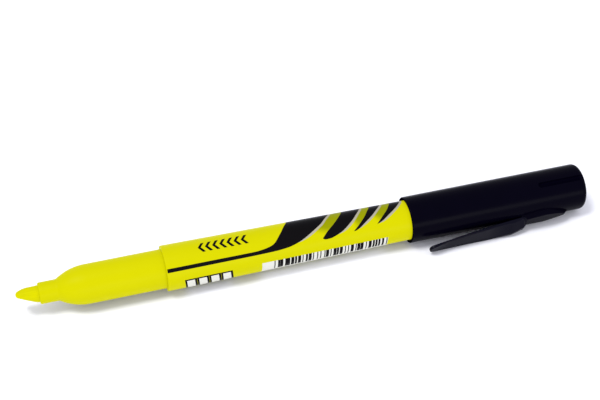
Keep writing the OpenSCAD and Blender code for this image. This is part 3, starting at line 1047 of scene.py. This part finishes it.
class PEN_OT_tail(bpy.types.Operator):
    """Turn the tail plug"""

    bl_idname = "pen.tail"
    bl_label = "Tail plug"

    def execute(self, context):
        sizes = context.scene.pen_sizes
        rear = BARREL_FRONT_R - BARREL_LEN * math.tan(sizes.draft)
        edge = sizes.plug_edge
        skirt = sizes.chamber_r - 0.02 * MM
        inner = skirt - sizes.plug_wall
        foot = BARREL_LEN - sizes.plug_skirt
        profile = [(TAIL, 0), (TAIL, 0.5 * rear)]
        profile += arc((TAIL - edge, rear - edge), edge, 0, 90, 10)
        profile += [(BARREL_LEN + 0.02 * MM, rear), (BARREL_LEN, rear - 0.03 * MM),
                    (BARREL_LEN, skirt), (foot, skirt), (foot, inner), (BARREL_LEN, inner),
                    (BARREL_LEN, 0)]
        piece = turned("tail_plug_body", profile, yellow_plastic(
            context.scene.pen_colours, "tail_yellow", 0.42, 0.5), closed=False)
        finish_piece(piece, "pen", "tail_plug")
        return {"FINISHED"}


class PEN_OT_reservoir(bpy.types.Operator):
    """Give the reservoir and its film their materials"""

    bl_idname = "pen.reservoir"
    bl_label = "Ink reservoir"

    def execute(self, context):
        colours = context.scene.pen_colours
        fibre = new_material("reservoir_fibre", fibre_group(), {
            "Colour": four(colours.fibre), "Threads": 3200.0, "Contrast": 0.5,
        }, 0.6, 0.08 * MM, {"Specular IOR Level": 0.3})
        film = plastic("film", colours.film, 0.25, 0.1, 0.1, 0.2, 0.2, {"IOR": 1.48})
        for name, material in (("ink_reservoir", fibre), ("reservoir_film", film)):
            part = frame["nodes"][name]
            for index in range(len(part.material_slots)):
                part.material_slots[index].link = "OBJECT"
                part.material_slots[index].material = material
        return {"FINISHED"}


# ---------------------------------------------------------------- the printed design
# The lines of the design are drawn as (station in mm, turn in degrees). They run from
# their lower ends up to the middle of the design and down the far side as a mirror image.
MIDDLE_TURN = -38.0
SWOOSH = (
    ((0.2, 49.2), (10, 49.2), (20, 49.4), (22.3, 48.4), (24.5, 44.2), (25.9, 37.6), (27.3, 21),
     (28.8, -1.4), (30.4, -38)),
    ((0.2, 59), (10, 59), (20, 59), (25, 58.4), (27.4, 57), (30, 52.9), (33.2, 40),
     (37.1, 14.4), (38.8, -3), (40.8, -38)),
)
LEAVES = (
    (((37.5, 49.5), (38.8, 34.9), (41.2, 12), (43.1, -13), (44, -38)),
     ((37.5, 49.5), (37.9, 53.6), (38.9, 54), (40.3, 51.2), (43.2, 36.3), (46.5, 3.7),
      (48.5, -38))),
    (((45.2, 47.1), (47.06, 29.2), (49.1, 3.7), (50.9, -38)),
     ((45.2, 47.1), (45.95, 46), (47.6, 35.9), (51.3, 3.7), (53.6, -38))),
    (((51.1, 40.3), (53.2, 17.3), (54.85, -4.7), (56, -38)),
     ((51.1, 40.3), (51.9, 37.6), (53.5, 28), (57.2, -4.7), (58.6, -38))),
)
SILVER_TURNS = (49.4, 47.3, 44.4, 39.4)
OLIVE_TURNS = ((33, 47), (29, 46), (23, 39.5))


def flat(point):
    """A drawn point in metres, with its turn as an arc at the barrel's front edge."""
    return (point[0] * MM, math.radians(point[1]) * BARREL_FRONT_R)


def mirror(point):
    """A flat point's mirror image on the far side of the design."""
    return (point[0], 2 * math.radians(MIDDLE_TURN) * BARREL_FRONT_R - point[1])


def drawn(points, count=90):
    """A drawn line and its mirror image, as evenly spread flat points."""
    line = [flat(point) for point in points]
    return spline(line + [mirror(point) for point in reversed(line[:-1])], count)


def above(line, start):
    """The stretch of a flat line between an arc and that arc's mirror image."""
    end = mirror((0, start))[1]
    return [point for point in line if end < point[1] < start]


def silver_beside(edge, turn, lap=0.03 * MM, width=0.54 * MM, ease=0.18):
    """Two lines along a black edge above a turn: one laps over it, the other runs beside
    it, and they meet at both ends."""
    line = above(edge, flat((0, turn))[1])
    last = len(line) - 1
    inner = []
    outer = []
    for i, (station, across) in enumerate(line):
        before = line[max(i - 1, 0)]
        after = line[min(i + 1, last)]
        run = math.dist(before, after)
        share = min(min(i, last - i) / last / ease, 1)
        push = share * ((2 - share) / run)
        step = ((before[1] - after[1]) * push, (after[0] - before[0]) * push)
        inner.append((station - lap * step[0], across - lap * step[1]))
        outer.append((station + width * step[0], across + width * step[1]))
    return inner, outer


def stretch(line, turn):
    """The stretch of a flat line above a turn, as evenly spread points."""
    return spline(above(line, flat((0, turn))[1]), 80)


def chevron(half, reach, width, steps=12):
    """Left and right edges of a chevron, flat, in metres."""
    shares = [2 * i / steps - 1 for i in range(steps + 1)]
    left = [(reach * abs(share), half * share) for share in shares]
    return left, [(station + width, across) for station, across in left]


def slanted_block(width, top, foot, lean, steps=20):
    """Left and right edges of a slanted block, flat, from its sizes in millimetres."""
    left = []
    right = []
    for i in range(steps + 1):
        share = i / steps
        across = (top + (foot - top) * share) * MM
        station = lean * share * MM
        left.append((station - width / 2 * MM, across))
        right.append((station + width / 2 * MM, across))
    return left, right


def printed(piece, ink_name, settings, tree=None, row=None):
    """Wraps a flat shape on the barrel as ink, or a row of it, and finishes the piece."""
    values = {
        "Front radius": BARREL_FRONT_R, "Draft": settings.pen_sizes.draft,
        "Axis start": tuple(AXIS), "Material": ink(settings.pen_colours, ink_name),
    }
    values.update(row or {})
    grow(piece, tree or print_tree(), values)
    finish_piece(tidy_mesh(piece), "pen")


class PEN_OT_print(bpy.types.Operator):
    """Print the stripe, the swoosh and the leaves with their silver and olive edges"""

    bl_idname = "pen.print"
    bl_label = "Printed design"

    def execute(self, context):
        ink_t = context.scene.pen_sizes.ink_t
        swoosh = [drawn(line, 150) for line in SWOOSH]
        leaves = [[drawn(line) for line in leaf] for leaf in LEAVES]
        silver = [silver_beside(black[1], turn)
                  for black, turn in zip([swoosh] + leaves, SILVER_TURNS)]
        olive = [(stretch(band[1], high), stretch(leaf[0], low))
                 for band, leaf, (high, low) in zip(silver, leaves, OLIVE_TURNS)]
        for name, ink_name, bands, proud in (
                ("print_swoosh", "black", [swoosh], 1),
                ("print_leaves", "black", leaves, 1),
                ("print_silver_edges", "silver", silver, 1.4),
                ("print_olive_bands", "olive", olive, 0.6)):
            ribbons = [(left, right, ink_t * proud) for left, right in bands]
            printed(flat_ribbons(name, ribbons, ink_t), ink_name, context.scene)
        return {"FINISHED"}


class PEN_OT_code(bpy.types.Operator):
    """Print the white panel and its row of bars"""

    bl_idname = "pen.code"
    bl_label = "Bar panel"

    def execute(self, context):
        ink_t = context.scene.pen_sizes.ink_t
        front, top = flat((22.4, 85.6))
        rear, foot = flat((53.4, 152))
        steps = 36
        left = [(front, top + (foot - top) * i / steps) for i in range(steps + 1)]
        right = [(rear, across) for _, across in left]
        panel = flat_ribbons("code_panel", [(left, right, ink_t * 0.8)], ink_t)
        printed(panel, "white", context.scene)

        first_bar, bar_top = flat((25.45, 85.5))
        bar_foot = flat((0, 120))[1]
        printed(new_piece("code_bars", [(0, 0, 0)]), "black", context.scene, bar_code_tree(), {
            "Bars": 33, "First station": first_bar, "Row length": 27.7 * MM,
            "Module": 0.27 * MM, "Bar arc": bar_foot - bar_top,
            "Arc centre": (bar_foot + bar_top) / 2, "Ink height": ink_t * 1.3, "Seed": 23,
        })
        return {"FINISHED"}


class PEN_OT_marks(bpy.types.Operator):
    """Print the plain ornaments: a row of chevrons and a row of slanted blocks"""

    bl_idname = "pen.marks"
    bl_label = "Plain marks"

    def execute(self, context):
        ink_t = context.scene.pen_sizes.ink_t
        chevrons = {"Marks": 7, "First station": 8.2 * MM, "Pitch": 1.7 * MM,
                    "Arc centre": 0.9 * MM}
        blocks = {"Marks": 4, "First station": 5.3 * MM, "Pitch": 2.85 * MM,
                  "Arc centre": flat((0, 87.5))[1]}
        for name, ink_name, edges, proud, row in (
                ("mark_chevrons", "black", chevron(1.3 * MM, 0.95 * MM, 0.72 * MM), 1,
                 chevrons),
                ("mark_block_outlines", "black", slanted_block(2.8, 0, 6.2, 0.6), 0.9,
                 blocks),
                ("mark_block_fills", "white", slanted_block(1.85, 0.4, 5.8, 0.52), 1.5,
                 blocks)):
            piece = flat_ribbons(name, [(*edges, ink_t * proud)], ink_t)
            printed(piece, ink_name, context.scene, mark_row_tree(), row)
        return {"FINISHED"}


# ---------------------------------------------------------------- liner, cap and clip
class PEN_OT_liner(bpy.types.Operator):
    """Turn the sealing cup inside the cap"""

    bl_idname = "pen.liner"
    bl_label = "Cap liner"

    def execute(self, context):
        sizes = context.scene.pen_sizes
        small = 0.12 * MM
        base = CAP_END - sizes.cap_end_wall - 0.03 * MM
        floor = base - sizes.liner_wall
        room = sizes.liner_r - sizes.liner_wall
        lip_end = LINER_LIP + sizes.seal_len
        profile = [(floor, 0), (floor, room), (lip_end, room), (lip_end, sizes.seal_r)]
        profile += arc((LINER_LIP + small, sizes.seal_r + small), small, 270, 180, 4)
        profile += arc((LINER_LIP + small, sizes.liner_r - small), small, 180, 90, 4)
        profile += [(base, sizes.liner_r), (base, sizes.spigot_r)]
        profile += arc((LINER_END - small, sizes.spigot_r - small), small, 90, 0, 4)
        profile += [(LINER_END, 0)]
        dull = plastic("liner_black", context.scene.pen_colours.liner, 0.5, 0.5, 0.2, 0.2, 0.3,
                       {"IOR": 1.2})
        piece = turned("liner_cup", profile, dull, closed=False)
        finish_piece(piece, "liner", "cap_liner")
        return {"FINISHED"}


def flute_front(sizes):
    """Station of the middle of a flute's round front."""
    return CAP_END - sizes.flute_len + sizes.flute_w / 2


def cap_outline(sizes):
    """The cap's closed outline as (station, radius) pairs, with close steps round the
    front of the flutes."""
    lip = sizes.cap_lip
    edge = sizes.cap_edge
    bore = CAP_R - sizes.cap_wall
    inner_end = CAP_END - sizes.cap_end_wall
    hole = sizes.spigot_r + 0.03 * MM
    front = flute_front(sizes) - sizes.flute_w / 2
    rings = [(CAP_MOUTH + 0.35 * MM, bore), (CAP_MOUTH, bore + 0.2 * MM)]
    rings += arc((CAP_MOUTH + lip, CAP_R - lip), lip, 180, 90, 8)
    station = CAP_MOUTH + 1 * MM
    while station < front - 0.4 * MM:
        rings.append((station, CAP_R))
        station += 1.5 * MM
    rings += [(front - 0.2 * MM + i * 0.05 * MM, CAP_R) for i in range(20)]
    station = rings[-1][0] + 0.6 * MM
    while station < CAP_END - edge - 0.3 * MM:
        rings.append((station, CAP_R))
        station += 0.8 * MM
    rings += arc((CAP_END - edge, CAP_R - edge), edge, 90, 0, 18)
    return rings + [(CAP_END, 0.6 * CAP_R), (CAP_END, hole + 0.06 * MM),
                    (CAP_END - 0.06 * MM, hole), (inner_end, hole),
                    (inner_end, bore - sizes.cap_draft)]


def cap_turns(sizes, flutes):
    """Turns of the lines along the cap, close together at the walls of the flutes."""
    half = sizes.flute_w / 2
    clear = (half + 0.25 * MM) / CAP_R
    turns = [math.radians(3 * i) for i in range(120)]
    for flute in flutes:
        turns = [turn for turn in turns
                 if abs(math.remainder(turn - flute, 2 * math.pi)) > clear]
        for offset in (-0.16, -0.1, -0.06, -0.03, 0, 0.03, 0.06, 0.1, 0.16):
            for side in (-1, 1):
                turns.append(flute + side * (half + offset * MM) / CAP_R)
        turns += [flute + share * half / CAP_R for share in (-0.5, -0.25, 0, 0.25, 0.5)]
    return sorted(turn % (2 * math.pi) for turn in turns)


def sunk(sizes, flutes, station, radius, turn):
    """Radius of the cap's surface at a place, less where a flute runs."""
    wall_top = 0.06 * MM
    wall_run = 0.14 * MM
    half = sizes.flute_w / 2
    floor_r = CAP_R - sizes.flute_depth
    front = flute_front(sizes)
    if radius <= floor_r or station < front - 1 * MM:
        return radius
    for flute in flutes:
        off = math.remainder(turn - flute, 2 * math.pi)
        across = abs(off) * CAP_R
        if across > half + 0.2 * MM:
            continue
        gap = across if station > front else math.hypot(across, station - front)
        deep = min(radius, floor_r / math.cos(off))
        return radius + (deep - radius) * eased((half + wall_top - gap) / wall_run)
    return radius


class PEN_OT_cap(bpy.types.Operator):
    """Build the cap with its flutes and vents"""

    bl_idname = "pen.cap"
    bl_label = "Cap"

    def execute(self, context):
        sizes = context.scene.pen_sizes
        colours = context.scene.pen_colours
        first_turn = CLIP_TURN + math.pi / 2
        flutes = [first_turn + i * math.pi / 2 for i in range(sizes.vent_count)]
        rings = cap_outline(sizes)
        turns = cap_turns(sizes, flutes)
        points = [on_pen(station, sunk(sizes, flutes, station, radius, turn), turn)
                  for station, radius in rings for turn in turns]
        piece = new_piece("cap_body", points, (), quads(len(rings), len(turns), closed=True))
        tidy_mesh(piece)
        grow(piece, vent_tree(), {
            "Vents": sizes.vent_count, "Ring radius": sizes.vent_ring,
            "Diameter": sizes.vent_d, "Depth": 3 * sizes.cap_end_wall,
            "Centre": tuple(AXIS + Vector((CAP_END - sizes.cap_end_wall / 2, 0, 0))),
            "First turn": first_turn, "Turn step": math.pi / 2,
            "Material": cap_black(colours),
        })
        tidy_mesh(piece)

        # Painted shade: the faces sunk below the cap's outside, mostly the flute floors and
        # walls, get a rough black that reflects almost nothing, so they read darker than the cap
        piece.data.materials.append(
            black_plastic("flute_black", colours.cap, 0.6, 0.6, 1.01))
        flute_shade_index = len(piece.data.materials) - 1
        bore = CAP_R - sizes.cap_wall
        for face in piece.data.polygons:
            radius = math.hypot(face.center.y - AXIS.y, face.center.z - AXIS.z)
            ahead = face.center.x - AXIS.x < CAP_END - sizes.cap_edge
            if ahead and bore + 0.05 * MM < radius < CAP_R - 0.12 * MM:
                face.material_index = flute_shade_index
        finish_piece(piece, "cap", "cap_shell")
        return {"FINISHED"}


class PEN_OT_ridge(bpy.types.Operator):
    """Build the low pointed ridge on the cap behind the clip's heel"""

    bl_idname = "pen.ridge"
    bl_label = "Ridge"

    def execute(self, context):
        sizes = context.scene.pen_sizes
        blunt = 1.1 * MM
        tail = HEEL + sizes.heel_r + sizes.ridge_len
        run = tail - HEEL
        cradle = HEEL_OUT - CAP_R
        foot = CAP_R - 0.8 * sizes.cap_wall
        slope_x = tail - blunt
        wide_x = HEEL + 0.45 * run

        def crest(x):
            line = CAP_R + sizes.ridge_rise + (sizes.ridge_tail_rise - sizes.ridge_rise) * (
                (x - HEEL) / (slope_x - HEEL))
            if x > slope_x:
                line = CAP_R + sizes.ridge_tail_rise * (tail - x) / (tail - slope_x)
            if x < HEEL + cradle:
                line = min(line, HEEL_OUT - bow(cradle, x - HEEL))
            return max(line, foot + 0.1 * MM)

        def girth(x):
            if x > wide_x:
                share = (x - wide_x) / (tail - wide_x)
                return (sizes.ridge_w / 2) * (1 - share ** 1.6) + 0.05 * MM
            share = (x - HEEL) / (wide_x - HEEL)
            return (sizes.clip_heel_w + (sizes.ridge_w - sizes.clip_heel_w) * share) / 2

        loops = []
        marks = sorted({0.0, 0.02, 0.04, 0.06, 0.075, 0.085, 0.09, 0.094, 0.1}
                       | {0.12 + 0.88 * (i / 40) for i in range(41)})
        for x in [HEEL + run * share for share in marks]:
            half = girth(x)
            high = crest(x)
            loops.append(section(x, ((-half, foot), (half, foot), (half, high), (-half, high)),
                                 0.25 * MM))
        piece = loft("cap_ridge", loops, cap_black(context.scene.pen_colours))
        finish_piece(piece, "cap")
        return {"FINISHED"}


class PEN_OT_clip(bpy.types.Operator):
    """Build the pocket clip"""

    bl_idname = "pen.clip"
    bl_label = "Pocket clip"

    def execute(self, context):
        sizes = context.scene.pen_sizes
        heel_r = sizes.heel_r
        belly = CLIP_TIP + sizes.clip_belly
        tip_face = CAP_R + sizes.clip_tip_rise
        belly_face = CAP_R + sizes.clip_belly_rise
        heel_face = HEEL_OUT + heel_r
        tip_r = sizes.clip_tip_t / 2
        end = HEEL + heel_r

        def top(x):
            if x > HEEL:
                return HEEL_OUT + bow(heel_r, x - HEEL)
            if x < CLIP_TIP + tip_r:
                return tip_face - tip_r + bow(tip_r, CLIP_TIP + tip_r - x)
            return curve_at([(CLIP_TIP + tip_r, tip_face), (belly, belly_face),
                             (HEEL - 3.2 * MM, belly_face + 0.1 * MM), (HEEL, heel_face)], x)

        def under(x):
            if x > HEEL:
                return HEEL_OUT - bow(heel_r, x - HEEL)
            if x < CLIP_TIP + tip_r:
                return tip_face - tip_r - bow(tip_r, CLIP_TIP + tip_r - x)
            share = (x - CLIP_TIP - tip_r) / (HEEL - CLIP_TIP - tip_r)
            return (tip_face - 2 * tip_r) * (1 - share) + (HEEL_OUT - heel_r) * share

        def girth(x):
            round_r = sizes.clip_tip_w / 2
            if x < CLIP_TIP + round_r:
                return bow(round_r, CLIP_TIP + round_r - x)
            if x < belly:
                share = (x - CLIP_TIP - round_r) / (belly - CLIP_TIP - round_r)
                return (sizes.clip_tip_w + (sizes.clip_w - sizes.clip_tip_w) * share) / 2
            share = min((x - belly) / (HEEL - belly), 1.0)
            return (sizes.clip_w + (sizes.clip_heel_w - sizes.clip_w) * share) / 2

        stations = [CLIP_TIP + step * MM for step in (
            0.01, 0.04, 0.09, 0.16, 0.25, 0.35, 0.5, 0.7, 0.9, 1.1, 1.25, 1.6)]
        stations += [CLIP_TIP + 2 * MM + (HEEL - CLIP_TIP - 2 * MM) * i / 60 for i in range(61)]
        stations += [HEEL + heel_r * math.sin(math.radians(a)) for a in range(6, 90, 7)]
        thinnest = 0.04 * MM
        grown_len = 5 * MM
        far_fall = 0.05
        loops = []
        for x in stations:
            half = max(girth(x), 0.05 * MM)
            low = under(x)
            high = max(top(x), low + 0.1 * MM)
            heelward = min(max((x - belly) / (HEEL - belly), 0.0), 1.0)
            slope = eased((x - CLIP_TIP) / grown_len) * math.tan(
                sizes.clip_slant + heelward * sizes.clip_twist)
            crest = half * (0.87 * heelward - 0.97)
            near = max(high - slope * (half - crest), low + thinnest)
            far = max(high - far_fall * (crest + half), low + thinnest)
            loops.append(section(x, ((-half, low), (half, low), (half, near), (crest, high),
                                     (-half, far)), sizes.clip_edge))
        # The clip's lighter navy is a painted highlight on the cap's plastic. Its higher IOR
        # adds real gloss.
        black = black_plastic("clip_black", context.scene.pen_colours.clip, 0.24, 0.25, 1.15)
        piece = loft("clip_blade", loops, black, 24)
        finish_piece(piece, "clip", "pocket_clip")
        return {"FINISHED"}


# ---------------------------------------------------------------- stage
def lay_floor(shade):
    """A wide pale floor with a faint unevenness."""
    half = 3.0
    floor = new_piece("floor", [(-half, -half, 0), (half, -half, 0), (half, half, 0),
                                (-half, half, 0)], (), [(0, 1, 2, 3)])
    paper = bpy.data.materials.new("floor_paper")
    paper.use_nodes = True
    tree = paper.node_tree
    surface = tree.nodes["Principled BSDF"]
    place = node(tree, "ShaderNodeTexCoord").outputs["Object"]
    tone = ranged(tree, noise(tree, place, 40.0, 3.0), 0.3, 0.7, 0.985, 1.0)
    tint = node(tree, "ShaderNodeRGB")
    tint.outputs[0].default_value = four(shade)
    tree.links.new(shaded(tree, tint.outputs[0], tone), surface.inputs["Base Color"])
    surface.inputs["Roughness"].default_value = 0.8
    surface.inputs["Specular IOR Level"].default_value = 0.1
    floor.data.materials.append(paper)


def lamp(scene, name, place, width, height, power):
    """A soft rectangular lamp that points at the pen."""
    data = bpy.data.lights.new(name, "AREA")
    data.shape = "RECTANGLE"
    data.size = width
    data.size_y = height
    data.energy = power
    made = bpy.data.objects.new(name, data)
    scene.collection.objects.link(made)
    made.location = place
    made.rotation_mode = "QUATERNION"
    made.rotation_quaternion = (-Vector(place)).to_track_quat("-Z", "Y")


def look(scene, aim, distance, down, aside, focal_length):
    """A camera that looks at a point from a distance, turned down and aside from +Y."""
    lens = bpy.data.cameras.new("camera")
    lens.sensor_width = 36.0
    lens.lens = focal_length
    lens.clip_start = 0.01
    lens.clip_end = 20.0
    camera = bpy.data.objects.new("camera", lens)
    scene.collection.objects.link(camera)
    forward = Vector((math.sin(aside) * math.cos(down), math.cos(aside) * math.cos(down),
                      -math.sin(down)))
    camera.location = aim - forward * distance
    camera.rotation_mode = "XYZ"
    camera.rotation_euler = (math.pi / 2 - down, 0, -aside)
    scene.camera = camera


class PEN_OT_stage(bpy.types.Operator):
    """Lay the pale floor, set the soft lights and the camera"""

    bl_idname = "pen.stage"
    bl_label = "Stage"

    def execute(self, context):
        scene = context.scene
        lay_floor(scene.pen_colours.floor)
        world = bpy.data.worlds.new("studio")
        scene.world = world
        world.use_nodes = True
        back = world.node_tree.nodes["Background"]
        back.inputs["Color"].default_value = (0.93, 0.94, 1.06, 1)
        back.inputs["Strength"].default_value = 0.95
        lamp(scene, "softbox", (-0.4, -0.1, 1.0), 0.32, 0.32, 6.8)
        lamp(scene, "low_strip", (0.05, -0.8, 0.1), 0.9, 0.3, 3.6)
        look(scene, Vector((1.8 * MM, 15.6 * MM, AXIS.z)), 338.3 * MM,
             math.radians(41.79), math.radians(16.19), 82.8)
        scene.view_settings.view_transform = "Standard"
        return {"FINISHED"}


class PEN_PT_panel(bpy.types.Panel):
    """Buttons that build the pen, in order"""

    bl_idname = "PEN_PT_panel"
    bl_label = "Pen highlighter"
    bl_space_type = "VIEW_3D"
    bl_region_type = "UI"
    bl_category = "Highlighter"

    def draw(self, context):
        for operator in OPERATORS:
            self.layout.operator(operator.bl_idname)
        for group in (context.scene.pen_sizes, context.scene.pen_colours):
            box = self.layout.box()
            for name in type(group).__annotations__:
                box.prop(group, name)


OPERATORS = (
    PEN_OT_nib, PEN_OT_nose, PEN_OT_barrel, PEN_OT_print, PEN_OT_code, PEN_OT_marks,
    PEN_OT_tail, PEN_OT_reservoir, PEN_OT_liner, PEN_OT_cap, PEN_OT_ridge, PEN_OT_clip,
    PEN_OT_stage,
)
CLASSES = (PenSizes, PenColours) + OPERATORS + (PEN_PT_panel,)


def register():
    """Registers the classes and the scene's settings."""
    for item in CLASSES:
        bpy.utils.register_class(item)
    bpy.types.Scene.pen_sizes = PointerProperty(type=PenSizes)
    bpy.types.Scene.pen_colours = PointerProperty(type=PenColours)


def unregister():
    """Takes the classes and the scene's settings away."""
    del bpy.types.Scene.pen_colours
    del bpy.types.Scene.pen_sizes
    for item in reversed(CLASSES):
        bpy.utils.unregister_class(item)


def main():
    """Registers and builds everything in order."""
    register()
    for operator in OPERATORS:
        group, name = operator.bl_idname.split(".")
        getattr(getattr(bpy.ops, group), name)()


if __name__ == "__main__":
    main()
